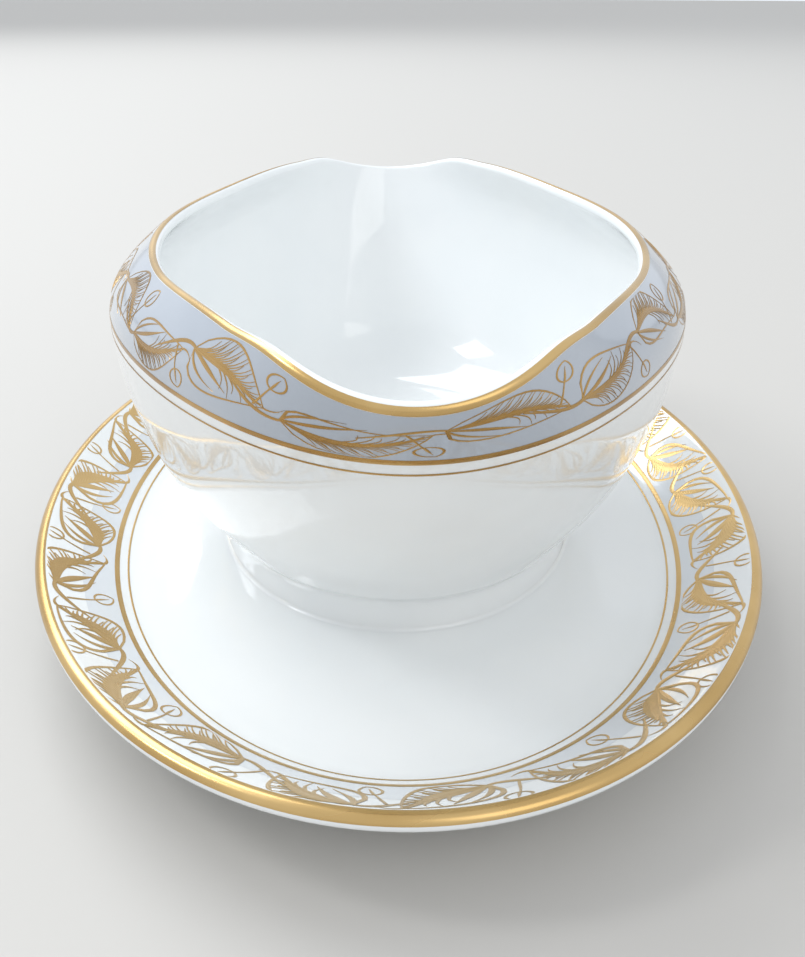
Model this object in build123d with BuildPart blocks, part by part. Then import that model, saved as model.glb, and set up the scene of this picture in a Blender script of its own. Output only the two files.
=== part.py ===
"""Gravy boat luted to an oval underplate, with gilt lines, tinted bands and a gilt vine.

Frame: +Z up, +Y along the boat from the middle towards one spout, +X across it,
origin on the table under the middle of the underplate. Sizes are millimetres.
"""

import os
from math import atan2, cos, degrees, pi, sin

from build123d import *

# Driving dimensions -----------------------------------------------------------

# Underplate
PLATE_WIDTH = 163.4
PLATE_LENGTH = 238.4
PLATE_HEIGHT = 18.6
WELL_WIDTH = 132.0           # across the break between flat well and rising rim
WELL_LENGTH = 204.6
WELL_RISE = 2.4              # from the well's floor up to that break
FLOOR_TOP = 7.0              # height of the well's floor above the table
PLATE_FLOOR = 3.8            # thickness of the well's floor
PLATE_RIM_WALL = 3.2         # thickness of the rising rim
PLATE_EDGE_LAND = 1.3        # flat on top of the outer edge, before it is rounded
PLATE_EDGE_DEPTH = 2.4       # upright face of the outer edge, before it is rounded
PLATE_EDGE_ROUND = 0.5
PLATE_FOOT_WIDTH = 100.0
PLATE_FOOT_LENGTH = 166.0
PLATE_FOOT_WALL = 3.5
PLATE_FOOT_ROUND = 0.8
VENT_DIAMETER = 3.0          # lets air out of the closed space under the boat

# Boat
BOAT_WIDTH = 124.0           # across the fullest part of the sides
BOAT_LENGTH = 205.2          # from lip to lip of the two spouts
BOAT_TOP = 79.5              # height of the rim's four shoulders above the table
BOAT_WALL = 3.0
BOAT_FLOOR = 4.0
SPOUT_DIP = 5.4              # how far each spout's lip lies below the shoulders
SIDE_DIP = 1.1               # how far the long sides lie below the shoulders
LIP_ROUND = 0.9

# Boat's foot, and the slip that joins it to the underplate
FOOT_WIDTH = 84.0
FOOT_LENGTH = 111.0
FOOT_HEIGHT = 8.0
FOOT_WALL = 4.0
FOOT_STEP = 1.5              # the body stands out this far past its foot
SLIP_BED = 0.3               # slip between the foot and the well's floor
SLIP_FILLET = 1.3            # slip squeezed out around the foot

# Decoration
GOLD_THICKNESS = 0.15
TINT_THICKNESS = 0.08
THICK_LINE = 1.0
THIN_LINE = 0.4
BOAT_LINE_DROP = 15.0        # from the shoulders down to the top of the thick line
BOAT_LINE_GAP = 1.9          # white gap between the boat's thick and thin lines
RIM_GOLD_MARGIN = 0.3        # bare glaze between the lip's rounding and the rim line
RIM_GOLD_WIDTH = 1.4
PLATE_LINE_GAP = 1.6         # white gap between the plate's thick and thin lines
PLATE_TINT_WIDTH = 7.0       # tinted ground, out from the plate's thick line
EDGE_GOLD_WIDTH = 1.5
STEM_WIDTH = 0.7
PLATE_LEAF_LENGTH = 12.5
PLATE_LEAF_WIDTH = 5.5
PLATE_LEAF_COUNT = 40
BOAT_LEAF_LENGTH = 20.0
BOAT_LEAF_WIDTH = 7.0
SIDE_LEAF_COUNT = 7          # leaves seen from each long side of the boat
SIDE_LEAF_PITCH = 24.0
END_LEAF_PITCH = 25.0        # between the two leaves seen at each spout
LEAF_LEAN = 24.0             # degrees between a leaf and the stem

# Derived sizes ----------------------------------------------------------------

UNDERSIDE = FLOOR_TOP - PLATE_FLOOR
RIM_BREAK = FLOOR_TOP + WELL_RISE
EDGE_BOTTOM = PLATE_HEIGHT - PLATE_EDGE_DEPTH
FOOT_BOTTOM = FLOOR_TOP + SLIP_BED
BODY_BOTTOM = FOOT_BOTTOM + FOOT_HEIGHT
LOFT_TOP = BOAT_TOP + BOAT_WALL
THICK_LINE_TOP = BOAT_TOP - BOAT_LINE_DROP
THICK_LINE_BOTTOM = THICK_LINE_TOP - THICK_LINE
THIN_LINE_TOP = THICK_LINE_BOTTOM - BOAT_LINE_GAP
RIM_GOLD_TOP = LIP_ROUND + RIM_GOLD_MARGIN
RIM_GOLD_BOTTOM = RIM_GOLD_TOP + RIM_GOLD_WIDTH
BAND_MIDDLE = (THICK_LINE_TOP + BOAT_TOP - RIM_GOLD_BOTTOM - SPOUT_DIP / 2) / 2
CUT = PLATE_LENGTH + BOAT_LENGTH     # longer than anything it cuts

# The boat's body above its foot: share of the height, shares of the greatest
# half width and half length, and how much the oval's quarters are flattened.
BODY_SHAPE = [
    (0.17, 0.860, 0.665, 0.06),
    (0.38, 0.955, 0.785, 0.09),
    (0.605, 1.000, 0.900, 0.11),
    (0.79, 0.985, 0.965, 0.12),
    (1.00, 0.740, 1.023, 0.12),
]

# The rim seen from the side: share of the half length, drop below the shoulders.
RIM_SHAPE = [
    (0.00, SIDE_DIP),
    (0.40, SIDE_DIP),
    (0.78, 0.0),
    (0.90, 0.14 * SPOUT_DIP),
    (1.00, SPOUT_DIP),
    (1.07, 1.9 * SPOUT_DIP),
]

OUTLINE_POINTS = 24


# Shared shapes ----------------------------------------------------------------

def flat_oval(height, width, length):
    """An ellipse at one height."""
    with BuildSketch(Plane.XY.offset(height)) as outline:
        Ellipse(width / 2, length / 2)
    return outline.sketch


def body_oval(height, half_width, half_length, flattening):
    """The boat's outline at one height: an oval with slightly flattened quarters."""
    points = []
    for step in range(OUTLINE_POINTS):
        turn = 2 * pi * step / OUTLINE_POINTS
        across = half_width * cos(turn) * (1 - flattening * sin(turn) ** 2)
        along = half_length * sin(turn) * (1 - flattening * cos(turn) ** 2)
        points.append((across, along))
    with BuildSketch(Plane.XY.offset(height)) as outline:
        with BuildLine():
            Spline(*points, periodic=True)
        make_face()
    return outline.sketch


def body_walls(grow):
    """Outlines of the body above its lowest one, moved outwards by grow."""
    outlines = []
    for share, width, length, flattening in BODY_SHAPE:
        height = BODY_BOTTOM + share * (LOFT_TOP - BODY_BOTTOM)
        half_width = width * BOAT_WIDTH / 2 + grow
        half_length = length * BOAT_LENGTH / 2 + grow
        outlines.append(body_oval(height, half_width, half_length, flattening))
    return outlines


def body_outlines(grow):
    """Outlines of the body from its foot to above the rim, moved outwards by grow."""
    step = FOOT_STEP + grow
    base = body_oval(BODY_BOTTOM, FOOT_WIDTH / 2 + step, FOOT_LENGTH / 2 + step, 0)
    return [base, *body_walls(grow)]


def above_rim(drop):
    """Side view of everything above the rim, lowered by drop."""
    right = [(share * BOAT_LENGTH / 2, BOAT_TOP - dip - drop) for share, dip in RIM_SHAPE]
    left = [(-along, height) for along, height in reversed(right[1:])]
    with BuildSketch(Plane.YZ) as side:
        with BuildLine():
            rim = Spline(*left, *right)
            Polyline(rim @ 1, ((rim @ 1).X, 2 * BOAT_TOP), ((rim @ 0).X, 2 * BOAT_TOP), rim @ 0)
        make_face()
    return side.sketch


def band_skin(thickness):
    """A thin layer all over the outside of the boat's body, as the part being built."""
    loft(body_outlines(thickness))
    loft(body_outlines(0), mode=Mode.SUBTRACT)


def keep_between(bottom, top):
    """Cut the part being built down to what lies between two heights."""
    with BuildSketch(Plane.XY.offset(bottom)) as slab:
        Rectangle(CUT, CUT)
    extrude(slab.sketch, amount=top - bottom, mode=Mode.INTERSECT)


def well_oval(outwards):
    """Width and length of the oval this far outside the break of the well."""
    return WELL_WIDTH + 2 * outwards, WELL_LENGTH + 2 * outwards


def rim_oval(share):
    """Width and length of the oval this share of the way from the break to the edge."""
    width = WELL_WIDTH + share * (PLATE_WIDTH - WELL_WIDTH)
    length = WELL_LENGTH + share * (PLATE_LENGTH - WELL_LENGTH)
    return width, length


def well_outlines(lift):
    """Outlines of the underplate's upper surface, raised by lift, from floor to edge."""
    outlines = [
        (FLOOR_TOP, *well_oval(-2.5 * WELL_RISE)),
        (RIM_BREAK, *well_oval(0)),
        (RIM_BREAK + 0.45 * (PLATE_HEIGHT - RIM_BREAK), *rim_oval(0.52)),
        (PLATE_HEIGHT, PLATE_WIDTH - 2 * PLATE_EDGE_LAND, PLATE_LENGTH - 2 * PLATE_EDGE_LAND),
    ]
    return [flat_oval(height + lift, width, length) for height, width, length in outlines]


def well_skin(thickness):
    """A thin layer all over the underplate's upper surface, as the part being built."""
    loft(well_outlines(0))
    loft(well_outlines(thickness), mode=Mode.SUBTRACT)


def keep_ring(inner, outer):
    """Cut the part being built down to what lies between two upright ovals."""
    extrude(flat_oval(0, *outer), amount=BOAT_TOP, mode=Mode.INTERSECT)
    extrude(flat_oval(0, *inner), amount=BOAT_TOP, mode=Mode.SUBTRACT)


def leaf(length, width):
    """A pointed leaf centred on the origin, with its midrib along the first axis."""
    upper_edge = [(-0.26 * length, 0.40 * width), (0, 0.50 * width), (0.26 * length, 0.34 * width)]
    lower_edge = [(along, -across) for along, across in reversed(upper_edge)]
    with BuildSketch(Plane.XY) as blade:
        with BuildLine():
            Polyline((-length / 2, 0), *upper_edge, (length / 2, 0), *lower_edge, close=True)
        make_face()
    return blade.sketch


# Underplate -------------------------------------------------------------------

# One casting: flat well, rising rim with an upright outer edge, oval foot ring.
with BuildPart() as underplate:
    loft([
        flat_oval(UNDERSIDE, *well_oval(-2 * WELL_RISE)),
        flat_oval(RIM_BREAK - PLATE_RIM_WALL, *well_oval(PLATE_RIM_WALL / 2)),
        flat_oval(EDGE_BOTTOM, PLATE_WIDTH, PLATE_LENGTH),
    ])
    extrude(flat_oval(EDGE_BOTTOM, PLATE_WIDTH, PLATE_LENGTH), amount=PLATE_EDGE_DEPTH)
    loft(well_outlines(0), mode=Mode.SUBTRACT)
    fillet(underplate.faces().sort_by(Axis.Z)[-1].edges(), PLATE_EDGE_ROUND)
    extrude(flat_oval(0, PLATE_FOOT_WIDTH, PLATE_FOOT_LENGTH), amount=UNDERSIDE)
    inside_foot = (PLATE_FOOT_WIDTH - 2 * PLATE_FOOT_WALL, PLATE_FOOT_LENGTH - 2 * PLATE_FOOT_WALL)
    extrude(flat_oval(0, *inside_foot), amount=UNDERSIDE, mode=Mode.SUBTRACT)
    fillet(underplate.faces().sort_by(Axis.Z)[0].edges(), PLATE_FOOT_ROUND)
    with Locations((0, 0, FLOOR_TOP)):
        Hole(VENT_DIAMETER / 2)
underplate.part.label = "underplate"

# Boat -------------------------------------------------------------------------

# One casting: body with two spouts, hollow inside, standing on an oval foot ring.
with BuildPart() as boat:
    loft(body_outlines(0))
    cavity_floor = body_oval(BODY_BOTTOM + BOAT_FLOOR, FOOT_WIDTH / 2 - FOOT_WALL,
                             FOOT_LENGTH / 2 - FOOT_WALL, 0)
    loft([cavity_floor, *body_walls(-BOAT_WALL)], mode=Mode.SUBTRACT)
    extrude(above_rim(0), amount=CUT, both=True, mode=Mode.SUBTRACT)
    fillet(boat.faces().sort_by(Axis.Z)[-1].edges(), min(LIP_ROUND, 0.3 * BOAT_WALL))
    extrude(flat_oval(FOOT_BOTTOM, FOOT_WIDTH, FOOT_LENGTH), amount=FOOT_HEIGHT)
    under_boat = flat_oval(FOOT_BOTTOM, FOOT_WIDTH - 2 * FOOT_WALL, FOOT_LENGTH - 2 * FOOT_WALL)
    extrude(under_boat, amount=FOOT_HEIGHT, mode=Mode.SUBTRACT)
boat.part.label = "boat"

# Slip seam: a bed under the foot ring and a fillet around it, both fired solid.
with BuildPart() as slip_seam:
    loft([
        flat_oval(FLOOR_TOP, FOOT_WIDTH + 2 * SLIP_FILLET, FOOT_LENGTH + 2 * SLIP_FILLET),
        flat_oval(FOOT_BOTTOM + SLIP_FILLET, FOOT_WIDTH, FOOT_LENGTH),
    ])
    inside_bed = (FOOT_WIDTH - 2 * FOOT_WALL, FOOT_LENGTH - 2 * FOOT_WALL)
    extrude(flat_oval(FLOOR_TOP, *inside_bed), amount=SLIP_BED, mode=Mode.SUBTRACT)
    extrude(flat_oval(FOOT_BOTTOM, FOOT_WIDTH, FOOT_LENGTH), amount=BOAT_TOP, mode=Mode.SUBTRACT)
slip_seam.part.label = "slip_seam"

# Decoration on the boat -------------------------------------------------------

with BuildPart() as boat_thick_line:
    band_skin(GOLD_THICKNESS)
    keep_between(THICK_LINE_BOTTOM, THICK_LINE_TOP)
boat_thick_line.part.label = "boat_thick_line"

with BuildPart() as boat_thin_line:
    band_skin(GOLD_THICKNESS)
    keep_between(THIN_LINE_TOP - THIN_LINE, THIN_LINE_TOP)
boat_thin_line.part.label = "boat_thin_line"

# A strip that follows the rim, between the rim lowered a little and lowered more. One
# quarter is cut out and mirrored twice, because the boat is the same on all four sides.
with BuildPart() as boat_rim_line:
    band_skin(GOLD_THICKNESS)
    split(bisect_by=Plane.XZ)
    split(bisect_by=Plane.YZ)
    extrude(above_rim(RIM_GOLD_BOTTOM), amount=CUT, both=True, mode=Mode.INTERSECT)
    extrude(above_rim(RIM_GOLD_TOP), amount=CUT, both=True, mode=Mode.SUBTRACT)
    mirror(about=Plane.YZ)
    mirror(about=Plane.XZ)
boat_rim_line.part.label = "boat_rim_line"

with BuildPart() as boat_tint:
    band_skin(TINT_THICKNESS)
    keep_between(THICK_LINE_TOP, LOFT_TOP)
    extrude(above_rim(RIM_GOLD_BOTTOM), amount=CUT, both=True, mode=Mode.SUBTRACT)
boat_tint.part.label = "boat_tint"

# Decoration on the underplate -------------------------------------------------

with BuildPart() as plate_thick_line:
    well_skin(GOLD_THICKNESS)
    keep_ring(well_oval(-THICK_LINE / 2), well_oval(THICK_LINE / 2))
plate_thick_line.part.label = "plate_thick_line"

with BuildPart() as plate_thin_line:
    thin_outside = -THICK_LINE / 2 - PLATE_LINE_GAP
    well_skin(GOLD_THICKNESS)
    keep_ring(well_oval(thin_outside - THIN_LINE), well_oval(thin_outside))
plate_thin_line.part.label = "plate_thin_line"

with BuildPart() as plate_tint:
    well_skin(TINT_THICKNESS)
    keep_ring(well_oval(THICK_LINE / 2), well_oval(THICK_LINE / 2 + PLATE_TINT_WIDTH))
plate_tint.part.label = "plate_tint"

with BuildPart() as plate_edge_line:
    edge_gold_top = PLATE_HEIGHT - PLATE_EDGE_ROUND
    gilt = (PLATE_WIDTH + 2 * GOLD_THICKNESS, PLATE_LENGTH + 2 * GOLD_THICKNESS)
    extrude(flat_oval(edge_gold_top, *gilt), amount=-EDGE_GOLD_WIDTH)
    extrude(flat_oval(edge_gold_top, PLATE_WIDTH, PLATE_LENGTH), amount=-EDGE_GOLD_WIDTH,
            mode=Mode.SUBTRACT)
plate_edge_line.part.label = "plate_edge_line"

# Vines ------------------------------------------------------------------------

# Leaves lean out and in by turns along an oval stem in the middle of the rim.
with BuildPart() as plate_vine:
    stem_width, stem_length = rim_oval(0.5)
    stem = Edge.make_ellipse(stem_width / 2, stem_length / 2)
    with BuildSketch() as pattern:
        Ellipse(stem_width / 2 + STEM_WIDTH / 2, stem_length / 2 + STEM_WIDTH / 2)
        Ellipse(stem_width / 2 - STEM_WIDTH / 2, stem_length / 2 - STEM_WIDTH / 2,
                mode=Mode.SUBTRACT)
        for number in range(PLATE_LEAF_COUNT):
            share = number / PLATE_LEAF_COUNT
            heading = stem % share
            lean = LEAF_LEAN if number % 2 else -LEAF_LEAN
            turn = degrees(atan2(heading.Y, heading.X)) + lean
            with Locations(Location(stem @ share, (0, 0, turn))):
                add(leaf(PLATE_LEAF_LENGTH, PLATE_LEAF_WIDTH))
    well_skin(TINT_THICKNESS + GOLD_THICKNESS)
    extrude(pattern.sketch, amount=BOAT_TOP, mode=Mode.INTERSECT)
    add(plate_tint.part, mode=Mode.SUBTRACT)
plate_vine.part.label = "plate_vine"

# The same on the boat's band, drawn from the sides and, at the spouts, from the ends.
with BuildPart() as boat_vine:
    with BuildSketch(Plane.YZ) as side_pattern:
        with Locations((0, BAND_MIDDLE)):
            Rectangle(CUT, STEM_WIDTH)
        for number in range(SIDE_LEAF_COUNT):
            along = (number - (SIDE_LEAF_COUNT - 1) / 2) * SIDE_LEAF_PITCH
            lean = LEAF_LEAN if number % 2 else -LEAF_LEAN
            with Locations(Location((along, BAND_MIDDLE), lean)):
                add(leaf(BOAT_LEAF_LENGTH, BOAT_LEAF_WIDTH))
    with BuildSketch(Plane.XZ) as end_pattern:
        for side in (-1, 1):
            with Locations(Location((side * END_LEAF_PITCH / 2, BAND_MIDDLE), side * LEAF_LEAN / 2)):
                add(leaf(BOAT_LEAF_LENGTH, BOAT_LEAF_WIDTH))
    extrude(side_pattern.sketch, amount=CUT, both=True)
    extrude(end_pattern.sketch, amount=CUT, both=True)
    loft(body_outlines(TINT_THICKNESS + GOLD_THICKNESS), mode=Mode.INTERSECT)
    loft(body_outlines(TINT_THICKNESS), mode=Mode.SUBTRACT)
    keep_between(THICK_LINE_TOP, LOFT_TOP)
    extrude(above_rim(RIM_GOLD_BOTTOM), amount=CUT, both=True, mode=Mode.SUBTRACT)
boat_vine.part.label = "boat_vine"

# Files ------------------------------------------------------------------------

os.makedirs("parts", exist_ok=True)
export_step(underplate.part, "parts/underplate.step")
export_step(boat.part, "parts/boat.step")
export_step(slip_seam.part, "parts/slip_seam.step")
export_step(boat_rim_line.part, "parts/boat_rim_line.step")
export_step(boat_tint.part, "parts/boat_tint.step")
export_step(boat_vine.part, "parts/boat_vine.step")
export_step(boat_thick_line.part, "parts/boat_thick_line.step")
export_step(boat_thin_line.part, "parts/boat_thin_line.step")
export_step(plate_edge_line.part, "parts/plate_edge_line.step")
export_step(plate_vine.part, "parts/plate_vine.step")
export_step(plate_tint.part, "parts/plate_tint.step")
export_step(plate_thick_line.part, "parts/plate_thick_line.step")
export_step(plate_thin_line.part, "parts/plate_thin_line.step")
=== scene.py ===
# %% [markdown]
# # A gravy boat fixed to its underplate
#
# The object is white porcelain: a boat with a spout at each end, joined in the kiln to an
# oval plate. Both carry gold lines, a grey band and a gold leaf vine. The solid model gives
# every size and place, and this lesson gives the object its finished surfaces.
# We first load the solid model and read the sizes of its parts from their boxes.

# %% Load the solid model
import bpy
import math
import random
import numpy as np
from mathutils import Matrix, Vector


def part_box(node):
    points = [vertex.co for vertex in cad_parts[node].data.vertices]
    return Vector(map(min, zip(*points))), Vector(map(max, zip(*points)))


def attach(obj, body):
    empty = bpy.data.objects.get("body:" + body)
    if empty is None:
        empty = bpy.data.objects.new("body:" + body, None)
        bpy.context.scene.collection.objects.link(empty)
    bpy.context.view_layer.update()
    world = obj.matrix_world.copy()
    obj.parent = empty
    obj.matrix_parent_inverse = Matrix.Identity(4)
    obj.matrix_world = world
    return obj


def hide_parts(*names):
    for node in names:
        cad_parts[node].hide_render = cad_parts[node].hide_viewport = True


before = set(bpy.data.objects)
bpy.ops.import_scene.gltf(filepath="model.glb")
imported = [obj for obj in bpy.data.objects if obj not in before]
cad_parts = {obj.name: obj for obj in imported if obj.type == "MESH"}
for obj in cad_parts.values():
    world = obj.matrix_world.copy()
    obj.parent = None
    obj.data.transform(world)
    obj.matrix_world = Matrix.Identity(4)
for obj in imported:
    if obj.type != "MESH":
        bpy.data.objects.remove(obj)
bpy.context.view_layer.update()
MM = 0.001


def size_of(node):
    """Highest corner and size of a node of the solid model, in metres."""
    low, high = (np.array(corner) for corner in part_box(node))
    return high, high - low


boat_high, boat_size = size_of("boat")
plate_high, plate_size = size_of("underplate")
print("boat", boat_size, "underplate", plate_size)

# %% [markdown]
# ## The camera
#
# The view is from in front of one spout and a little above, as a person at the table sees
# the boat. A lens of about 38 mm close to the object makes the near spout look large, so the
# distance matters as much as the direction. The camera leans and turns by a degree or two,
# as a camera in the hand does.

# %% Place the camera
VIEW_HEIGHT = math.radians(26.0)     # how far the camera looks down
VIEW_TURN = math.radians(1.98)       # how far the object is turned from straight ahead
VIEW_ROLL = math.radians(0.42)
VIEW_DISTANCE = 0.2566
VIEW_SIDE = 0.00168
VIEW_RISE = 0.01295
SENSOR_WIDTH = 36.0                  # millimetres, as the lens is
LENS = 37.62
NEAREST_DRAWN = 0.01                 # metres from the camera

backwards = Vector((-math.sin(VIEW_TURN) * math.cos(VIEW_HEIGHT),
                    -math.cos(VIEW_TURN) * math.cos(VIEW_HEIGHT), math.sin(VIEW_HEIGHT)))
level = Vector((0, 0, 1)).cross(backwards).normalized()
upright = backwards.cross(level)
right = math.cos(VIEW_ROLL) * level + math.sin(VIEW_ROLL) * upright
up = -math.sin(VIEW_ROLL) * level + math.cos(VIEW_ROLL) * upright
eye = VIEW_SIDE * right + VIEW_RISE * up + VIEW_DISTANCE * backwards

bpy.ops.object.camera_add()
camera = bpy.context.object
camera.name = "camera"
camera.matrix_world = Matrix((
    (right.x, up.x, backwards.x, eye.x),
    (right.y, up.y, backwards.y, eye.y),
    (right.z, up.z, backwards.z, eye.z),
    (0, 0, 0, 1)))
camera.data.sensor_width = SENSOR_WIDTH
camera.data.lens = LENS
camera.data.clip_start = NEAREST_DRAWN
bpy.context.scene.camera = camera
print("camera at", tuple(round(value, 4) for value in eye))

# %% [markdown]
# ## One glaze effect for several finishes
#
# Fired glaze is never perfectly even: it has very shallow waves, like the skin of an orange,
# and its gloss changes a little from place to place. Porcelain, the grey band and the gold
# all lie in or on this glaze, so the effect is a node group that each material uses with
# its own numbers.

# %% Build the glaze group
def make_group(name, inputs, outputs):
    """A shader node group with named float inputs and named outputs."""
    group = bpy.data.node_groups.new(name, "ShaderNodeTree")
    for label, default in inputs:
        socket = group.interface.new_socket(label, in_out="INPUT", socket_type="NodeSocketFloat")
        socket.default_value = default
    for label, kind in outputs:
        group.interface.new_socket(label, in_out="OUTPUT", socket_type=kind)
    group.nodes.new("NodeGroupInput")
    group.nodes.new("NodeGroupOutput")
    return group


def glaze_group():
    """Slow change of gloss and shallow waves over a fired surface."""
    group = make_group(
        "fired_glaze",
        [("Lowest roughness", 0.05), ("Highest roughness", 0.1), ("Wave height", 0.2)],
        [("Roughness", "NodeSocketFloat"), ("Normal", "NodeSocketVector"),
         ("Mottle", "NodeSocketFloat")])
    nodes, links = group.nodes, group.links
    entry, leave = nodes["Group Input"], nodes["Group Output"]
    place = nodes.new("ShaderNodeTexCoord")
    clouds = nodes.new("ShaderNodeTexNoise")
    clouds.inputs["Scale"].default_value = 38.0
    clouds.inputs["Detail"].default_value = 4.0
    waves = nodes.new("ShaderNodeTexNoise")
    waves.inputs["Scale"].default_value = 210.0
    waves.inputs["Detail"].default_value = 1.5
    links.new(place.outputs["Object"], clouds.inputs["Vector"])
    links.new(place.outputs["Object"], waves.inputs["Vector"])
    spread = nodes.new("ShaderNodeMapRange")
    links.new(clouds.outputs["Fac"], spread.inputs["Value"])
    links.new(entry.outputs["Lowest roughness"], spread.inputs["To Min"])
    links.new(entry.outputs["Highest roughness"], spread.inputs["To Max"])
    bump = nodes.new("ShaderNodeBump")
    bump.inputs["Distance"].default_value = 0.00004
    links.new(entry.outputs["Wave height"], bump.inputs["Strength"])
    links.new(waves.outputs["Fac"], bump.inputs["Height"])
    links.new(spread.outputs["Result"], leave.inputs["Roughness"])
    links.new(bump.outputs["Normal"], leave.inputs["Normal"])
    links.new(clouds.outputs["Fac"], leave.inputs["Mottle"])
    return group


FIRED_GLAZE = glaze_group()


def fired_material(name, light, dark, lowest, highest, waves):
    """A material whose colour drifts between two tones, finished by the glaze group."""
    material = bpy.data.materials.new(name)
    material.use_nodes = True
    nodes, links = material.node_tree.nodes, material.node_tree.links
    shader = nodes["Principled BSDF"]
    glaze = nodes.new("ShaderNodeGroup")
    glaze.node_tree = FIRED_GLAZE
    glaze.inputs["Lowest roughness"].default_value = lowest
    glaze.inputs["Highest roughness"].default_value = highest
    glaze.inputs["Wave height"].default_value = waves
    tones = nodes.new("ShaderNodeValToRGB")
    tones.color_ramp.elements[0].position = 0.35
    tones.color_ramp.elements[1].position = 0.65
    tones.color_ramp.elements[0].color = (*dark, 1)
    tones.color_ramp.elements[1].color = (*light, 1)
    links.new(glaze.outputs["Mottle"], tones.inputs["Fac"])
    links.new(tones.outputs["Color"], shader.inputs["Base Color"])
    links.new(glaze.outputs["Roughness"], shader.inputs["Roughness"])
    links.new(glaze.outputs["Normal"], shader.inputs["Normal"])
    return material, shader


# %% [markdown]
# ## Porcelain, enamel and gold
#
# Porcelain is a cool white under a clear glaze. The boat's band is a grey enamel that turns
# blue in the light, and the plate's is a thinner, paler wash of it. Fired gold is a real metal,
# but not polished flat, so it is softer than a mirror and its tone drifts between brown and
# yellow. The gold on the boat is a darker copy of the same gold. That darkness is painted shade,
# standing in for the dark surroundings that the boat's gold reflects.

# %% Make the materials
def clear_coat(shader, roughness):
    """A layer of clear glaze over the colour."""
    shader.inputs["Coat Weight"].default_value = 0.5
    shader.inputs["Coat Roughness"].default_value = roughness


porcelain, shader = fired_material("porcelain", (0.86, 0.875, 0.87), (0.84, 0.86, 0.86),
                                   0.05, 0.11, 0.10)
clear_coat(shader, 0.04)
shader.inputs["Specular IOR Level"].default_value = 0.55

band_grey, shader = fired_material("band_grey", (0.45, 0.49, 0.55), (0.41, 0.45, 0.51),
                                   0.07, 0.14, 0.14)
clear_coat(shader, 0.05)

pale_grey, shader = fired_material("pale_grey", (0.71, 0.74, 0.77), (0.68, 0.71, 0.74),
                                   0.07, 0.14, 0.14)
clear_coat(shader, 0.05)

burnished_gold, shader = fired_material("burnished_gold", (0.70, 0.48, 0.21),
                                        (0.54, 0.35, 0.13), 0.20, 0.34, 0.5)
shader.inputs["Metallic"].default_value = 1.0

# painted shade: the same gold made darker for the boat's lines and vine, in place of the dark
# surroundings they reflect
painted_shade_gold, shader = fired_material("painted_shade_gold", (0.60, 0.38, 0.14), (0.38, 0.22, 0.07),
                                   0.16, 0.30, 0.5)
shader.inputs["Metallic"].default_value = 1.0

# %% [markdown]
# ## Flat sheets wrapped on a surface
#
# The boat and the plate are free-form ovals, so no single primitive comes near them. We make
# each surface as a flat grid, one unit wide and one unit high, and then wrap the grid around:
# its width becomes the way round and its height the way along the profile. The gold and the
# enamel are laid on in the same way, as real transfers are, so they follow the porcelain.

# %% Helpers for sheets
def deselect_all():
    bpy.ops.object.select_all(action="DESELECT")


def flat_sheet(name, columns, rows):
    """A flat grid that covers 0 to 1 both ways."""
    deselect_all()
    bpy.ops.mesh.primitive_grid_add(x_subdivisions=columns, y_subdivisions=rows, size=1.0,
                                    location=(0.5, 0.5, 0.0))
    bpy.ops.object.transform_apply(location=True, rotation=False, scale=False)
    piece = bpy.context.object
    piece.name = name
    return piece


def wrap(piece, place):
    """Move every vertex (u, v, lift) to the point that place gives for it."""
    count = len(piece.data.vertices)
    flat = np.empty(count * 3, dtype=np.float32)
    piece.data.vertices.foreach_get("co", flat)
    flat = flat.reshape(-1, 3).astype(float)
    moved = place(flat[:, 0], flat[:, 1], flat[:, 2])
    piece.data.vertices.foreach_set("co", moved.astype(np.float32).ravel())
    piece.data.update()


def close_seams(piece, outwards=True):
    """Merge the vertices that meet at the seam and the poles, and smooth the faces."""
    deselect_all()
    bpy.context.view_layer.objects.active = piece
    piece.select_set(True)
    bpy.ops.object.mode_set(mode="EDIT")
    bpy.ops.mesh.select_all(action="SELECT")
    bpy.ops.mesh.remove_doubles(threshold=1e-7)
    if outwards:
        bpy.ops.mesh.normals_make_consistent(inside=False)
    bpy.ops.object.mode_set(mode="OBJECT")
    bpy.ops.object.shade_smooth()


def finish_piece(piece, material, slot, *nodes):
    """Give a piece its material, hang it under the root and hide the nodes of the solid model that it
    replaces.
    """
    piece.data.materials.clear()
    piece.data.materials.append(material)
    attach(piece, "root")
    if nodes:
        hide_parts(*nodes)
    print(piece.name, len(piece.data.polygons), "faces")


def curve_through(knots):
    """A smooth function through (x, y) knots, in the way of a bent spline."""
    xs, ys = (np.array(values, dtype=float) for values in zip(*knots))
    slopes = np.gradient(ys, xs)

    def value(x):
        x = np.clip(x, xs[0], xs[-1])
        left = np.clip(np.searchsorted(xs, x) - 1, 0, len(xs) - 2)
        span = xs[left + 1] - xs[left]
        t = (x - xs[left]) / span
        return ((1 + 2 * t) * (1 - t) ** 2 * ys[left] + t * (1 - t) ** 2 * span * slopes[left]
                + t * t * (3 - 2 * t) * ys[left + 1] + t * t * (t - 1) * span * slopes[left + 1])
    return value


# %% [markdown]
# ## The form of the boat's wall
#
# At every height the wall is an oval whose quarters are slightly flattened. Three smooth
# curves say how wide, how long and how flattened it is: it grows from the foot to a full
# shoulder and then closes in at the sides, but keeps on flaring at the spouts. The rim dips
# at each spout. With the wall's formula known, the outward direction at any point follows
# from two short steps along the surface.

# %% Describe the wall
WALL = 3.0 * MM
LIP_RADIUS = 1.25 * MM
FOOT_HALF_WIDTH = 42.0 * MM
FOOT_HALF_LENGTH = 55.5 * MM
FOOT_STEP = 1.5 * MM
FOOT_TOP = 15.3 * MM
FLOOR_TOP = 7.0 * MM
SPOUT_DIP = 5.4 * MM
SIDE_DIP = 1.1 * MM

rim_crest = boat_high[2]
half_width = boat_size[0] / 2
half_length = boat_size[1] / 2
wall_top = rim_crest + WALL

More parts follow.
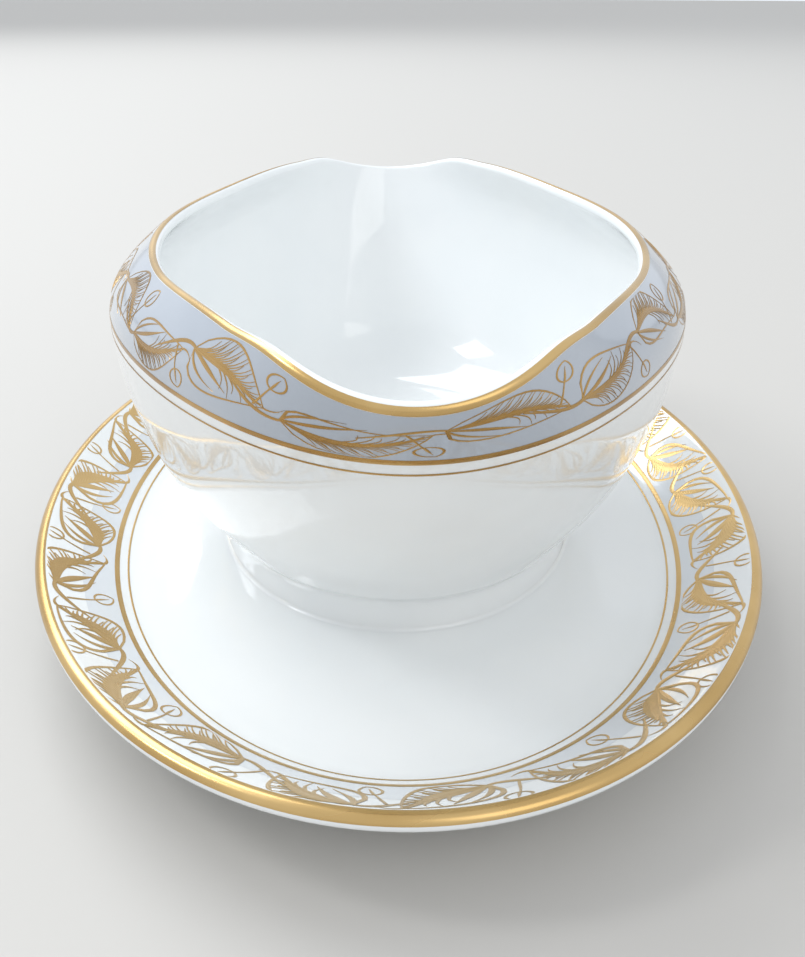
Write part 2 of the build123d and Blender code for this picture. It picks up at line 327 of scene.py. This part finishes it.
# share of the height from foot to wall_top, share of half width, of half length, flattening
WALL_SHAPE = [
    (0.00, (FOOT_HALF_WIDTH + FOOT_STEP) / half_width,
     (FOOT_HALF_LENGTH + FOOT_STEP) / half_length, 0.0),
    (0.17, 0.860, 0.673, 0.06),
    (0.38, 0.955, 0.795, 0.09),
    (0.605, 1.000, 0.911, 0.11),
    (0.79, 0.985, 0.977, 0.12),
    (1.00, 0.740, 1.036, 0.12),
]
heights = [FOOT_TOP + row[0] * (wall_top - FOOT_TOP) for row in WALL_SHAPE]
wall_width = curve_through([(h, row[1] * half_width) for h, row in zip(heights, WALL_SHAPE)])
wall_length = curve_through([(h, row[2] * half_length) for h, row in zip(heights, WALL_SHAPE)])
wall_flat = curve_through([(h, row[3]) for h, row in zip(heights, WALL_SHAPE)])

# share of the half length, height of the rim above or below its crest
rim_side_view = curve_through([
    (0.00, -SIDE_DIP), (0.40, -SIDE_DIP), (0.78, 0.0), (0.90, -0.14 * SPOUT_DIP),
    (1.00, -SPOUT_DIP), (1.07, -1.9 * SPOUT_DIP)])


def wall_point(turn, height):
    """Point on the outside of the wall, for a turn in radians and a height."""
    flattening = wall_flat(height)
    across = wall_width(height) * np.cos(turn) * (1 - flattening * np.sin(turn) ** 2)
    along = wall_length(height) * np.sin(turn) * (1 - flattening * np.cos(turn) ** 2)
    return np.stack([across, along, np.broadcast_to(height, across.shape)], axis=1)


def wall_frame(turn, height):
    """Point, outward direction and upward direction on the outside of the wall."""
    point = wall_point(turn, height)
    around = wall_point(turn + 1e-4, height) - wall_point(turn - 1e-4, height)
    upward = wall_point(turn, height + 1e-5) - wall_point(turn, height - 1e-5)
    outward = np.cross(around, upward)
    outward /= np.linalg.norm(outward, axis=1, keepdims=True)
    upward /= np.linalg.norm(upward, axis=1, keepdims=True)
    return point, outward, upward


def rim_height(turn):
    """Height of the rim at a turn, found by stepping towards it."""
    height = np.full(np.shape(turn), rim_crest)
    for _ in range(8):
        along = np.abs(wall_point(turn, height)[:, 1]) / half_length
        height = rim_crest + rim_side_view(along)
    return height


print("rim at side and spout", rim_height(np.array([0.0, math.pi / 2])))

# %% [markdown]
# ## The boat
#
# The boat is one casting, so its surface is one closed sheet. From the bottom of the sheet to
# the top we pass the hollow under the boat, the foot, the outer wall, the rounded lip, the
# inner wall and the floor. Each stretch is a short function of how far along it we are.

# %% Wrap the boat
FLOOR_THICKNESS = 4.0 * MM
FLOOR_JOIN = 12.0 * MM       # the inner wall turns into the floor this far above it
FOOT_WALL = 4.0 * MM
BURIED = 0.2 * MM            # the foot reaches this far into the slip below it
AROUND = 224

inner_floor = FOOT_TOP + FLOOR_THICKNESS
join_height = inner_floor + FLOOR_JOIN


def oval_point(turn, across, along, height):
    return np.stack([across * np.cos(turn), along * np.sin(turn),
                     np.broadcast_to(height, turn.shape)], axis=1)


def under_boat(turn, share):
    """The closed hollow under the boat, from its middle to the inside of the foot."""
    inner = (FOOT_HALF_WIDTH - FOOT_WALL) * share, (FOOT_HALF_LENGTH - FOOT_WALL) * share
    return oval_point(turn, *inner, FOOT_TOP)


def foot_bottom(turn, share):
    inset = FOOT_WALL * (1 - share)
    return oval_point(turn, FOOT_HALF_WIDTH - inset, FOOT_HALF_LENGTH - inset, FLOOR_TOP - BURIED)


def foot_side(turn, share):
    """The foot's outside, which steps out under the body in a small hollow."""
    lean = FOOT_STEP * share ** 9
    height = FLOOR_TOP + share * (FOOT_TOP - FLOOR_TOP)
    return oval_point(turn, FOOT_HALF_WIDTH + lean, FOOT_HALF_LENGTH + lean, height)


def outer_wall(turn, share):
    return wall_point(turn, FOOT_TOP + share * (rim_height(turn) - LIP_RADIUS - FOOT_TOP))


def lip(turn, share):
    """A half round from the outer wall over to the inner wall."""
    point, outward, upward = wall_frame(turn, rim_height(turn) - LIP_RADIUS)
    angle = (math.pi * share)[:, None]
    return point + LIP_RADIUS * ((np.cos(angle) - 1) * outward + np.sin(angle) * upward)


def inner_wall(turn, share):
    """The inner wall from the lip down to where it turns into the floor."""
    top = rim_height(turn) - LIP_RADIUS
    height = top + share * (join_height - top)
    point, outward, _ = wall_frame(turn, height)
    thickness = 2 * LIP_RADIUS + (WALL - 2 * LIP_RADIUS) * np.minimum(1, 4 * share)
    return point - outward * thickness[:, None]


def inner_corner(turn, share):
    """A bend from the inner wall to the flat floor."""
    start = inner_wall(turn, np.ones_like(share))
    lower = start[:, 2] - inner_floor
    reach = [1.0, 0.87, 0.62]
    drop = [0.0, 1.0, 1.0]
    weights = [(1 - share) ** 2, 2 * share * (1 - share), share ** 2]
    factor = sum(weight * value for weight, value in zip(weights, reach))
    fall = sum(weight * value for weight, value in zip(weights, drop))
    return np.stack([start[:, 0] * factor, start[:, 1] * factor, start[:, 2] - lower * fall], axis=1)


def inner_floor_disc(turn, share):
    edge = inner_corner(turn, np.ones_like(share))
    return np.stack([edge[:, 0] * (1 - share), edge[:, 1] * (1 - share), edge[:, 2]], axis=1)


def follow(stretches):
    """A wrapping function that runs through stretches of (function, rows)."""
    total = sum(rows for _, rows in stretches)

    def place(u, v, lift):
        turn = 2 * math.pi * u
        result = np.zeros((len(u), 3))
        start = 0
        row = v * total
        for function, rows in stretches:
            here = (row >= start - 1e-4) & (row <= start + rows + 1e-4)
            share = np.clip((row[here] - start) / rows, 0, 1)
            result[here] = function(turn[here], share)
            start += rows
        return result
    return place, total


boat_surface, boat_rows = follow([
    (under_boat, 4), (foot_bottom, 2), (foot_side, 14), (outer_wall, 44), (lip, 10),
    (inner_wall, 34), (inner_corner, 14), (inner_floor_disc, 8)])
boat = flat_sheet("boat_body", AROUND, boat_rows)
wrap(boat, boat_surface)
close_seams(boat)
finish_piece(boat, porcelain, "porcelain", "boat")

# %% [markdown]
# ## The underplate
#
# The plate is a second casting. Its profile is drawn once, as a distance outwards from the
# break between the flat well and the rising rim, and a height. The same profile then runs
# round the oval. The long way grows a little faster than the short way, because the rim is
# wider at the ends than at the sides. The edge is an arc, and the foot ring is hidden below.

# %% Wrap the underplate
EDGE_RADIUS = 1.5 * MM
WELL_HALF_WIDTH = 66.0 * MM
WELL_HALF_LENGTH = 102.3 * MM
BREAK_RISE = 2.4 * MM
WELL_FLAT = -20.0 * MM       # the flat of the well ends here, measured outwards from the break
EDGE_LAND = 0.9 * MM         # the upper surface stops this far before the arc's centre
UNDER_HEIGHT = 3.2 * MM      # clear height under the well
RING_OUTSIDE = -16.0 * MM
RING_INSIDE = -19.5 * MM
RING_EASE = 0.6 * MM         # height of the ground face's rounded edges
ARC_START = math.radians(125)
ARC_SWEEP = math.radians(215)

plate_half_width = plate_size[0] / 2
plate_top = plate_high[2]
rim_reach = plate_half_width - WELL_HALF_WIDTH
end_growth = (plate_size[1] / 2 - WELL_HALF_LENGTH) / rim_reach    # rim at the ends to the sides
edge_out = rim_reach - EDGE_RADIUS
edge_height = plate_top - EDGE_RADIUS

# distance outwards from the break and height, from the well to the edge
upper_profile = [(WELL_FLAT, FLOOR_TOP), (-7.0 * MM, FLOOR_TOP + 0.15 * MM),
                 (-3.0 * MM, FLOOR_TOP + 0.95 * MM), (0.0, FLOOR_TOP + BREAK_RISE),
                 (5.0 * MM, FLOOR_TOP + 5.3 * MM), (edge_out - EDGE_LAND, plate_top - 0.35 * MM)]
rim_surface_height = curve_through(upper_profile)


def plate_point(turn, out, height, shrink=1.0):
    """Point at a distance outwards from the break; shrink draws it to the middle."""
    across = (WELL_HALF_WIDTH + out) * shrink
    along = (WELL_HALF_LENGTH + end_growth * out) * shrink
    return oval_point(turn, across, along, height)


def well_floor(turn, share):
    return plate_point(turn, WELL_FLAT, FLOOR_TOP, share)


def upper_rim(turn, share):
    out = WELL_FLAT + share * (edge_out - EDGE_LAND - WELL_FLAT)
    return plate_point(turn, out, rim_surface_height(out))


def edge_arc(turn, share):
    angle = ARC_START - ARC_SWEEP * share
    out = edge_out + EDGE_RADIUS * np.cos(angle)
    return plate_point(turn, out, edge_height + EDGE_RADIUS * np.sin(angle))


underside_profile = curve_through([
    (RING_OUTSIDE, UNDER_HEIGHT), (-9.0 * MM, 3.3 * MM), (-1.0 * MM, 5.0 * MM),
    (6.0 * MM, 9.2 * MM), (edge_out, edge_height - EDGE_RADIUS)])


def underside(turn, share):
    out = edge_out - share * (edge_out - RING_OUTSIDE)
    return plate_point(turn, out, underside_profile(out))


def foot_ring(turn, share):
    """The plate's foot: down the outside, across the ground face, up the inside."""
    path_out = curve_through([(0.0, RING_OUTSIDE), (0.3, -16.2 * MM), (0.42, -16.9 * MM),
                              (0.58, -18.6 * MM), (0.7, -19.3 * MM), (1.0, RING_INSIDE)])
    path_height = curve_through([(0.0, UNDER_HEIGHT), (0.3, RING_EASE), (0.42, 0.0),
                                 (0.58, 0.0), (0.7, RING_EASE), (1.0, UNDER_HEIGHT)])
    return plate_point(turn, path_out(share), np.maximum(path_height(share), 0.0))


def under_well(turn, share):
    return plate_point(turn, RING_INSIDE, UNDER_HEIGHT, 1 - share)


plate_surface, plate_rows = follow([
    (well_floor, 10), (upper_rim, 44), (edge_arc, 16), (underside, 26), (foot_ring, 14),
    (under_well, 6)])
underplate = flat_sheet("underplate_body", AROUND, plate_rows)
wrap(underplate, plate_surface)
close_seams(underplate)
finish_piece(underplate, porcelain, "porcelain", "underplate")

# %% [markdown]
# ## The slip seam
#
# Where the foot meets the plate, the slip that joins them is wiped smooth and glazed over.
# It is a small hollow fillet. Without it the two castings would look like two loose dishes.

# %% Wrap the slip seam
SEAM_REACH = 0.8 * MM
SEAM_LIFT = 0.02 * MM        # keeps the fillet just clear of both castings


def strip_round(name, rows, place):
    """A narrow sheet that runs once round the object and is closed at its seam."""
    piece = flat_sheet(name, AROUND, rows)
    wrap(piece, place)
    close_seams(piece, outwards=False)
    return piece


def slip_fillet(turn, share):
    """A quarter hollow between the foot and the floor of the well."""
    angle = math.pi / 2 * share
    out = SEAM_REACH * (1 - np.sin(angle)) + SEAM_LIFT
    height = FLOOR_TOP + SEAM_REACH * (1 - np.cos(angle)) + SEAM_LIFT
    return oval_point(turn, FOOT_HALF_WIDTH + out, FOOT_HALF_LENGTH + out, height)


seam_surface, seam_rows = follow([(slip_fillet, 8)])
slip_seam = strip_round("slip_fillet", seam_rows, seam_surface)
finish_piece(slip_seam, porcelain, "porcelain", "slip_seam")

# %% [markdown]
# ## Lines and grey bands
#
# Gold lines like these are drawn with a full brush, so each stands a little proud of the
# glaze and is thickest in its middle. The grey is flatter. Each is a narrow sheet
# wrapped a few hundredths of a millimetre above the porcelain.

# %% Helpers for what lies on the glaze
LINE_CROWN = 0.05 * MM
GOLD_LIFT = 0.05 * MM
TINT_LIFT = 0.02 * MM
TINT_MARGIN = 0.1 * MM       # the band runs under the line below it and stops short of the lip


def crown(v):
    """Height profile across a brushed line."""
    return LINE_CROWN * np.sin(math.pi * np.clip(v, 0, 1))


def line_on_wall(name, low, high, lift=GOLD_LIFT, rows=5, raised=True):
    """A strip on the boat's wall between two heights, each a number or a function of turn."""
    def place(u, v, _):
        turn = 2 * math.pi * u
        bottom = low(turn) if callable(low) else low
        top = high(turn) if callable(high) else high
        point, outward, _ = wall_frame(turn, bottom + v * (top - bottom))
        rise = lift + (crown(v) if raised else 0 * v)
        return point + outward * rise[:, None]
    return strip_round(name, rows, place)


def rim_frame(turn, out):
    """Point and upward direction on the plate's upper surface, at a distance outwards."""
    point = plate_point(turn, out, rim_surface_height(out))
    outer = plate_point(turn, out + 1e-5, rim_surface_height(out + 1e-5))
    inner = plate_point(turn, out - 1e-5, rim_surface_height(out - 1e-5))
    around = plate_point(turn + 1e-4, out, rim_surface_height(out)) - point
    normal = np.cross(outer - inner, around)
    normal /= np.linalg.norm(normal, axis=1, keepdims=True)
    return point, normal


def line_on_plate(name, low, high, lift=GOLD_LIFT, rows=5, raised=True):
    """A strip on the plate between two distances outwards from the break."""
    def place(u, v, _):
        turn = -2 * math.pi * u
        point, normal = rim_frame(turn, low + v * (high - low))
        rise = lift + (crown(v) if raised else 0 * v)
        return point + normal * rise[:, None]
    return strip_round(name, rows, place)


# %% Lay the boat's lines and band
LINE_DROP = 15.0 * MM
THICK_LINE = 1.0 * MM
THIN_LINE = 0.4 * MM
LINE_GAP = 1.9 * MM

thick_top = rim_crest - LINE_DROP
thick_bottom = thick_top - THICK_LINE
thin_top = thick_bottom - LINE_GAP

# the boat's two lines take the gold that is painted darker as shade
piece = line_on_wall("boat_thick_line", thick_bottom, thick_top)
finish_piece(piece, painted_shade_gold, "gilding", "boat_thick_line")
piece = line_on_wall("boat_thin_line", thin_top - THIN_LINE, thin_top)
finish_piece(piece, painted_shade_gold, "gilding", "boat_thin_line")


def band_top(turn):
    return rim_height(turn) - LIP_RADIUS - TINT_MARGIN


piece = line_on_wall("boat_grey_band", thick_top - TINT_MARGIN, band_top, TINT_LIFT, 24,
                     raised=False)
finish_piece(piece, band_grey, "band_tint", "boat_tint")


RIM_GOLD_START = 0.0                   # where the lip leaves the outer wall
RIM_GOLD_END = math.radians(66)        # short of the crest of the lip


def rim_gold(u, v, _):
    """Gold along the outer half of the rounded lip."""
    turn = 2 * math.pi * u
    angle = RIM_GOLD_START + (RIM_GOLD_END - RIM_GOLD_START) * v
    point, outward, upward = wall_frame(turn, rim_height(turn) - LIP_RADIUS)
    direction = np.cos(angle)[:, None] * outward + np.sin(angle)[:, None] * upward
    radius = LIP_RADIUS + GOLD_LIFT + crown(v)
    return point - LIP_RADIUS * outward + radius[:, None] * direction


boat_rim_line = strip_round("boat_rim_line", 9, rim_gold)
finish_piece(boat_rim_line, burnished_gold, "gilding", "boat_rim_line")

# %% Lay the plate's lines and band
PLATE_LINE_GAP = 1.6 * MM
PLATE_TINT_END = 6.8 * MM

piece = line_on_plate("plate_thick_line", -0.5 * THICK_LINE, 0.5 * THICK_LINE)
finish_piece(piece, burnished_gold, "gilding", "plate_thick_line")
thin_outer = -0.5 * THICK_LINE - PLATE_LINE_GAP
piece = line_on_plate("plate_thin_line", thin_outer - THIN_LINE, thin_outer)
finish_piece(piece, burnished_gold, "gilding", "plate_thin_line")
piece = line_on_plate("plate_grey_band", 0.45 * THICK_LINE, PLATE_TINT_END, TINT_LIFT, 10,
                      raised=False)
finish_piece(piece, pale_grey, "band_tint", "plate_tint")


EDGE_GOLD_START = math.radians(115)    # on the upper surface, just inside the edge
EDGE_GOLD_END = math.radians(14)       # short of the middle of the edge; below it stays white


def edge_gold(u, v, _):
    """Gold over the upper half of the plate's rounded edge."""
    turn = -2 * math.pi * u
    angle = EDGE_GOLD_START + (EDGE_GOLD_END - EDGE_GOLD_START) * v
    radius = EDGE_RADIUS + GOLD_LIFT + crown(v)
    return plate_point(turn, edge_out + radius * np.cos(angle), edge_height + radius * np.sin(angle))


plate_edge = strip_round("plate_edge_line", 10, edge_gold)
finish_piece(plate_edge, burnished_gold, "gilding", "plate_edge_line")

# %% [markdown]
# ## The gold leaf vine
#
# A vine runs round the boat's band and round the plate's rim. Such vines are often printed
# flat in gold and laid on the curved glaze as a transfer, and we work in the same way. Every
# line is one brush stroke: a narrow flat sheet that follows a curve, swells in its middle and
# is a little higher along its spine. A leaf is made of such strokes once, then copied along
# the strip, and the whole strip is wrapped at the end.

# %% One brush stroke
STROKE_STEPS = 9
STROKE_CROWN = 0.045 * MM


def bezier(first, second, third, last, steps=STROKE_STEPS):
    """Points along a cubic curve, given in millimetres."""
    t = np.linspace(0, 1, steps + 1)[:, None]
    corners = [np.array(corner, dtype=float) for corner in (first, second, third, last)]
    return ((1 - t) ** 3 * corners[0] + 3 * t * (1 - t) ** 2 * corners[1]
            + 3 * t * t * (1 - t) * corners[2] + t ** 3 * corners[3])


def brush(points, width, start=0.35, end=0.15, peak=0.4):
    """A flat stroke along points, both in millimetres; start and end are shares of width."""
    points = np.asarray(points, dtype=float)
    steps = len(points) - 1
    tangents = np.gradient(points, axis=0)
    tangents /= np.linalg.norm(tangents, axis=1, keepdims=True) + 1e-12
    sides = np.stack([-tangents[:, 1], tangents[:, 0]], axis=1)
    swell = curve_through([(0.0, start), (peak, 1.0), (1.0, end)])

    def place(u, v, _):
        index = np.clip(np.round(u * steps).astype(int), 0, steps)
        offset = (v - 0.5) * width * swell(u)
        flat = points[index] + sides[index] * offset[:, None]
        lift = (1 - np.abs(2 * v - 1)) * STROKE_CROWN
        return np.stack([flat[:, 0] * MM, flat[:, 1] * MM, lift], axis=1)
    piece = flat_sheet("stroke", steps, 2)
    wrap(piece, place)
    return piece


def join(pieces, name):
    """Join pieces into one object."""
    deselect_all()
    for piece in pieces:
        piece.select_set(True)
    bpy.context.view_layer.objects.active = pieces[0]
    bpy.ops.object.join()
    pieces[0].name = name
    return pieces[0]


# %% One leaf
def leaf_rib(share, leaf):
    """Point on the midrib of a leaf (length, width, bow), from base to tip."""
    length, _, bow = leaf
    share = np.asarray(share, dtype=float)
    return np.stack([length * share, bow * length * np.sin(math.pi * share)], axis=-1)


def leaf_edge(share, leaf, side):
    """Point on the upper (side 1) or lower (side -1) edge of a leaf, from base to tip."""
    share = np.asarray(share, dtype=float)
    if side > 0:
        reach = 0.50 * leaf[1] * np.sin(math.pi * share ** 0.80) ** 0.80
    else:
        reach = 0.56 * leaf[1] * np.sin(math.pi * share ** 0.62) ** 0.90
    aside = np.stack([np.zeros_like(share), side * reach], axis=-1)
    return leaf_rib(share, leaf) + aside


def vein(root, side, leaf, sweep, cover, steps=5):
    """Points of a vein from the midrib towards the edge; cover is how far out it gets."""
    start = leaf_rib(root, leaf)
    edge = leaf_edge(min(root + sweep, 0.985), leaf, side)
    end = start + (edge - start) * cover
    middle = leaf_rib(min(root + 0.62 * sweep, 0.99), leaf) * 0.62 + end * 0.38
    return bezier(start, start + (middle - start) * 0.8, middle, end, steps)


def wash(leaf, depth):
    """A broad stroke beside the midrib, where the engraver's lines run together."""
    along = np.linspace(0.04, 0.80, 11)
    middle = leaf_rib(along, leaf) + (leaf_edge(along, leaf, 1) - leaf_rib(along, leaf)) * depth * 0.5
    return brush(middle, depth * 0.5 * leaf[1], 0.15, 0.12, 0.45)


def make_leaf(leaf, bold, fine, depth, veins, name):
    """A folded leaf drawn with strokes.

    bold is the width of the outline and fine that of a vein, in millimetres. depth is how far
    the solid gold reaches from the midrib, and veins are the numbers above and below it.
    """
    length, width, _ = leaf
    upper_veins, lower_veins = veins
    along = np.linspace(0, 1, 15)
    strokes = [
        brush(leaf_rib(along, leaf), 1.5 * bold, 1.0, 0.25, 0.12),
        brush(leaf_edge(along, leaf, 1), bold, 0.7, 0.45, 0.55),
        brush(leaf_edge(along, leaf, -1), 1.2 * bold, 1.0, 0.4, 0.25),
        brush(bezier((length, 0), (1.05 * length, 0.0), (1.12 * length, 0.05 * width),
                     (1.15 * length, 0.22 * width), 6), bold, 1.0, 0.1, 0.05),
        wash(leaf, depth),
    ]
    for number in range(upper_veins):
        root = 0.01 + 0.84 * number / upper_veins
        cover = 0.99 if number % 3 else 0.78
        strokes.append(brush(vein(root, 1, leaf, 0.26, cover), fine, 1.0, 0.35, 0.25))
    for number in range(lower_veins):
        root = 0.40 + 0.50 * number / lower_veins
        points = vein(root, -1, leaf, 0.20, 0.95 if number % 2 else 0.70)
        strokes.append(brush(points, fine, 1.0, 0.15, 0.2))
    fold = bezier((0.02 * length, -0.02 * width), (0.20 * length, -0.02 * width),
                  (0.38 * length, -0.10 * width), (0.62 * length, -0.22 * width))
    strokes.append(brush(fold, 2.2 * bold, 0.5, 0.06, 0.45))
    second = bezier((0.01 * length, -0.04 * width), (0.10 * length, -0.22 * width),
                    (0.24 * length, -0.32 * width), (0.50 * length, -0.34 * width))
    strokes.append(brush(second, 1.4 * bold, 0.7, 0.08, 0.4))
    return join(strokes, name)


# %% One bud on its tendril
def make_bud(size, bold, name):
    """A heart-shaped bud: two loops that meet in a point, with a line down the middle."""
    strokes = []
    for side in (-1, 1):
        loop = bezier((0, 0), (0.05 * size, side * 0.62 * size), (0.85 * size, side * 0.72 * size),
                      (1.12 * size, 0), 12)
        strokes.append(brush(loop, 0.70 * bold, 0.7, 0.6, 0.5))
    line = bezier((-0.1 * size, 0), (0.3 * size, 0.05 * size), (0.6 * size, -0.04 * size),
                  (0.85 * size, 0.0))
    strokes.append(brush(line, 0.75 * bold, 0.8, 0.1, 0.3))
    return join(strokes, name)


# %% Lay leaves, buds and stems out on a flat strip
def copy_at(piece, along, across, turn, flip=1.0, scale=1.0):
    """A copy with its own mesh, flipped, scaled, turned and moved on the strip (mm, degrees)."""
    copy = piece.copy()
    copy.data = piece.data.copy()
    bpy.context.scene.collection.objects.link(copy)
    copy.data.transform(Matrix.Translation((along * MM, across * MM, 0))
                        @ Matrix.Rotation(math.radians(turn), 4, "Z")
                        @ Matrix.Diagonal((scale, flip * scale, 1, 1)))
    if flip < 0:
        copy.data.flip_normals()
    return copy


def make_strip(name, cells, cell, band, leaves, bud, bold, base, lean):
    """A flat strip of vine: one leaf, one bud and one piece of stem in each cell.

    base is how far from the strip's middle each leaf starts, as a share of the band, and lean
    is how steeply it crosses the band, in degrees. Every second cell is the other way up.
    """
    pieces = []
    for number in range(cells):
        flip = 1.0 if number % 2 else -1.0
        left = number * cell
        leaf = leaves[number % len(leaves)]
        angle = lean + random.uniform(-4, 4)
        pieces.append(copy_at(leaf, left + 0.17 * cell, flip * base * band, -flip * angle, flip,
                              random.uniform(0.95, 1.04)))
        pieces.append(copy_at(bud, left + 0.04 * cell, -flip * 0.24 * band, -flip * 66, flip))
        stem = bezier((left - 0.34 * cell, -flip * 0.10 * band),
                      (left - 0.14 * cell, flip * 0.5 * base * band),
                      (left + 0.02 * cell, flip * (base + 0.10) * band),
                      (left + 0.18 * cell, flip * base * band), 12)
        pieces.append(brush(stem, 1.20 * bold, 0.35, 0.75, 0.55))
        tendril = bezier((left - 0.06 * cell, flip * 0.6 * base * band),
                         (left - 0.02 * cell, flip * 0.02 * band),
                         (left + 0.00 * cell, -flip * 0.10 * band),
                         (left + 0.04 * cell, -flip * 0.24 * band))
        pieces.append(brush(tendril, 0.62 * bold, 1.0, 0.6, 0.2))
    return join(pieces, name)


def remove(pieces):
    deselect_all()
    for piece in pieces:
        piece.select_set(True)
    bpy.ops.object.delete()


random.seed(7)
TURNS = np.linspace(0, 2 * math.pi, 1441)


def way_round(points):
    """Distance travelled along closed points, in millimetres."""
    steps = np.linalg.norm(np.diff(points, axis=0), axis=1)
    return np.concatenate([[0.0], np.cumsum(steps)]) / MM


# %% The boat's vine
BOAT_LEAVES = 20
band_middle = 0.5 * (thick_top + band_top(TURNS))
boat_way = way_round(wall_point(TURNS, band_middle))
boat_cell = boat_way[-1] / BOAT_LEAVES
BOAT_BAND = 16.0             # millimetres across the flat strip
BOAT_SPREAD = 0.82           # share of the band that the strip fills
BAND_EDGE = 0.03             # share of the band that stays clear at either side

leaves = [make_leaf((23.0, 12.0, 0.10), 0.50, 0.36, 0.20, (27, 8), "leaf_bowed"),
          make_leaf((21.5, 13.5, 0.05), 0.50, 0.36, 0.20, (25, 7), "leaf_wide"),
          make_leaf((23.5, 11.5, 0.15), 0.50, 0.36, 0.20, (28, 7), "leaf_curled")]
bud = make_bud(4.2, 0.70, "bud")
boat_vine = make_strip("boat_vine", BOAT_LEAVES, boat_cell, BOAT_BAND, leaves, bud,
                       bold=0.80, base=0.20, lean=15)
remove([*leaves, bud])


def onto_band(x, y, lift):
    """From the flat strip to the boat's band: x runs round, y from line to rim."""
    turn = np.interp((x / MM) % boat_way[-1], boat_way, TURNS)
    share = np.clip(0.5 + BOAT_SPREAD * (y / MM) / BOAT_BAND, BAND_EDGE, 1 - BAND_EDGE)
    height = thick_top + share * (band_top(turn) - thick_top)
    point, outward, _ = wall_frame(turn, height)
    return point + outward * (GOLD_LIFT + lift)[:, None]


wrap(boat_vine, onto_band)
deselect_all()
# the boat's vine takes the gold that is painted darker as shade
finish_piece(boat_vine, painted_shade_gold, "gilding", "boat_vine")

# %% The plate's vine
PLATE_LEAVES = 27
plate_middle = 0.50 * rim_reach
plate_way = way_round(plate_point(-TURNS, plate_middle, rim_surface_height(plate_middle)))
plate_cell = plate_way[-1] / PLATE_LEAVES
PLATE_BAND = 14.0            # millimetres across the flat strip
PLATE_SPREAD = 0.86
CLEAR_OF_LINE = 1.0 * MM
CLEAR_OF_EDGE = 0.8 * MM

leaves = [make_leaf((17.5, 13.0, 0.10), 0.82, 0.70, 0.45, (17, 4), "rim_leaf_bowed"),
          make_leaf((16.5, 14.0, 0.05), 0.82, 0.70, 0.45, (16, 4), "rim_leaf_wide"),
          make_leaf((18.0, 12.0, 0.16), 0.82, 0.70, 0.45, (17, 4), "rim_leaf_curled")]
bud = make_bud(4.0, 0.80, "rim_bud")
plate_vine = make_strip("plate_vine", PLATE_LEAVES, plate_cell, PLATE_BAND, leaves, bud,
                        bold=0.95, base=0.34, lean=36)
remove([*leaves, bud])


def onto_rim(x, y, lift):
    """From the flat strip to the plate's rim: x runs round, y from well to edge."""
    turn = -np.interp((x / MM) % plate_way[-1], plate_way, TURNS)
    out = np.clip(plate_middle + y * PLATE_SPREAD, CLEAR_OF_LINE, edge_out - CLEAR_OF_EDGE)
    point, normal = rim_frame(turn, out)
    return point + normal * (GOLD_LIFT + lift)[:, None]


wrap(plate_vine, onto_rim)
deselect_all()
finish_piece(plate_vine, burnished_gold, "gilding", "plate_vine")

# %% [markdown]
# ## Floor and light
#
# A pale floor stands for the table. One large soft lamp behind and above the object lights
# the rim and the inside of the boat as a window does, a second in front fills the near side,
# and a small one from the left puts a bright spot on the shoulder of the near spout. The pale
# sky gives the glaze something even to reflect. White glaze turns grey under Blender's usual
# film-like view, so we show the picture in the plain Standard view.

# %% Floor and lamps
FLOOR_SIZE = 40.0
FLOOR_TONE = (0.55, 0.53, 0.50, 1)
SKY_TONE = (0.86, 0.90, 0.95, 1)
SKY_STRENGTH = 0.98

deselect_all()
bpy.ops.mesh.primitive_plane_add(size=FLOOR_SIZE, location=(0, 0, 0))
floor = bpy.context.object
floor.name = "floor"
floor_paint = bpy.data.materials.new("floor_paint")
floor_paint.use_nodes = True
floor_shader = floor_paint.node_tree.nodes["Principled BSDF"]
floor_shader.inputs["Base Color"].default_value = FLOOR_TONE
floor_shader.inputs["Roughness"].default_value = 0.6
floor.data.materials.append(floor_paint)


def soft_lamp(name, place, size, power, tone):
    """A square lamp that looks at the middle of the object."""
    deselect_all()
    bpy.ops.object.light_add(type="AREA", location=place)
    lamp = bpy.context.object
    lamp.name = name
    lamp.data.shape = "RECTANGLE"
    lamp.data.size, lamp.data.size_y = size
    lamp.data.energy = power
    lamp.data.color = tone
    aim = Vector((0, 0, 0.04)) - Vector(place)
    lamp.rotation_euler = aim.to_track_quat("-Z", "Y").to_euler()


soft_lamp("window", (-1.2, 1.68, 2.16), (2.16, 1.68), 50.0, (0.93, 0.97, 1.0))
soft_lamp("room", (1.32, -1.8, 1.8), (1.7, 1.7), 10.0, (1.0, 0.97, 0.92))
soft_lamp("side_window", (-0.95, 0.03, 1.0), (0.24, 0.34), 3.5, (0.96, 0.98, 1.0))
world = bpy.data.worlds.new("sky")
bpy.context.scene.world = world
world.use_nodes = True
world.node_tree.nodes["Background"].inputs["Color"].default_value = SKY_TONE
world.node_tree.nodes["Background"].inputs["Strength"].default_value = SKY_STRENGTH
bpy.context.scene.view_settings.view_transform = "Standard"
